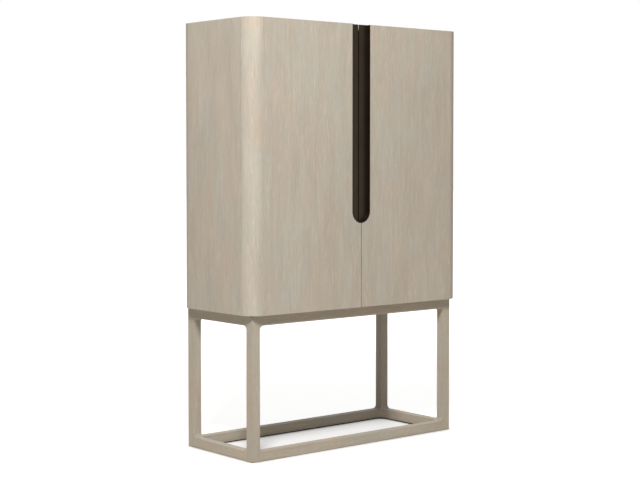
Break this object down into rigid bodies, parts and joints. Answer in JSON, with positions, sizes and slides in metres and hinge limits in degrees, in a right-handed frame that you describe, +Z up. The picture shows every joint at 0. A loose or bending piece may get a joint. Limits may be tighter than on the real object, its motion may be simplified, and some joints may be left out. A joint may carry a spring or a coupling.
{
  "type": "bar cabinet with fold out shelf",
  "caption": "Tall round-cornered wooden bar cabinet on an open frame, with two wrap-round doors, a bronze finger slot and a fold-out serving leaf inside.",
  "frame": {"origin": "on the floor, under the middle of the cabinet's bounding box", "axes": "+X to the right seen from the front, -Y out of the front, +Z up"},
  "size_m": [1.144, 0.475, 1.74],
  "materials": {
    "oak_outside": "limed oak veneer, satin lacquer, upright grain",
    "oak_inside": "limed oak veneer, satin lacquer",
    "bronze": "dark bronze, satin",
    "hinge_steel": "satin nickel plate",
    "brass": "satin",
    "dark_board": "black stained",
    "glide_plastic": "matte",
    "catch_plastic": "matte",
    "mirror": "silvered float glass",
    "glass": "clear toughened glass, polished edges"
  },
  "bodies": {
    "carcass": {"leg_front_left": "oak_outside", "leg_front_right": "oak_outside", "leg_rear_left": "oak_outside", "leg_rear_right": "oak_outside", "foot_rail_front": "oak_outside", "foot_rail_rear": "oak_outside", "foot_rail_left": "oak_outside", "foot_rail_right": "oak_outside", "top_rail_front": "oak_outside", "top_rail_rear": "oak_outside", "top_rail_left": "oak_outside", "top_rail_right": "oak_outside", "glide_front_left": "glide_plastic", "glide_front_right": "glide_plastic", "glide_rear_left": "glide_plastic", "glide_rear_right": "glide_plastic", "spacer_board": "dark_board", "side_left": "oak_outside", "side_right": "oak_outside", "back_panel": "oak_outside", "bottom_panel": "oak_inside", "top_panel": "oak_outside", "partition": "oak_inside", "hinge_left_1_side_half": "hinge_steel", "hinge_left_2_side_half": "hinge_steel", "hinge_left_3_side_half": "hinge_steel", "hinge_right_1_side_half": "hinge_steel", "hinge_right_2_side_half": "hinge_steel", "hinge_right_3_side_half": "hinge_steel", "magnet_catch_left": "catch_plastic", "magnet_catch_right": "catch_plastic", "serving_shelf": "oak_inside", "leaf_hinge_shelf_half": "brass", "bearer_guide_left": "oak_inside", "bearer_guide_right": "oak_inside", "mirror": "mirror", "glass_shelf": "glass", "lower_shelf": "oak_inside", "upper_shelf": "oak_inside", "bottle_divider_1": "oak_inside", "bottle_divider_2": "oak_inside", "bottle_divider_3": "oak_inside", "stemware_rack": "oak_inside"},
    "left_door": {"door_left": "oak_outside", "pull_left": "bronze", "hinge_left_1_door_half": "hinge_steel", "hinge_left_2_door_half": "hinge_steel", "hinge_left_3_door_half": "hinge_steel", "strike_plate_left": "hinge_steel"},
    "right_door": {"door_right": "oak_outside", "pull_right": "bronze", "hinge_right_1_door_half": "hinge_steel", "hinge_right_2_door_half": "hinge_steel", "hinge_right_3_door_half": "hinge_steel", "strike_plate_right": "hinge_steel"},
    "serving_leaf": {"fold_out_leaf": "oak_outside", "leaf_hinge_leaf_half": "brass"},
    "left_bearer": {"bearer_left": "oak_outside"},
    "right_bearer": {"bearer_right": "oak_outside"}
  },
  "joints": [
    {"name": "left_door_swing", "type": "hinge", "parent": "carcass", "child": "left_door", "pos_m": [-0.572, -0.1745, 1.159], "axis": [0, 0, -1], "range_deg": [0, 120]},
    {"name": "right_door_swing", "type": "hinge", "parent": "carcass", "child": "right_door", "pos_m": [0.572, -0.1745, 1.159], "axis": [0, 0, 1], "range_deg": [0, 120]},
    {"name": "leaf_fold", "type": "hinge", "parent": "carcass", "child": "serving_leaf", "pos_m": [0.279, -0.2015, 1.01], "axis": [1, 0, 0], "range_deg": [0, 180]},
    {"name": "left_bearer_slide", "type": "slide", "parent": "carcass", "child": "left_bearer", "axis": [0, -1, 0], "range_m": [0, 0.15]},
    {"name": "right_bearer_slide", "type": "slide", "parent": "carcass", "child": "right_bearer", "axis": [0, -1, 0], "range_m": [0, 0.15]}
  ],
  "couplings": [
    {"joint": "leaf_fold", "follows": "right_door_swing", "ratio": 1.5},
    {"joint": "left_bearer_slide", "follows": "right_door_swing", "m_per_rad": 0.0716},
    {"joint": "right_bearer_slide", "follows": "right_door_swing", "m_per_rad": 0.0716}
  ]
}
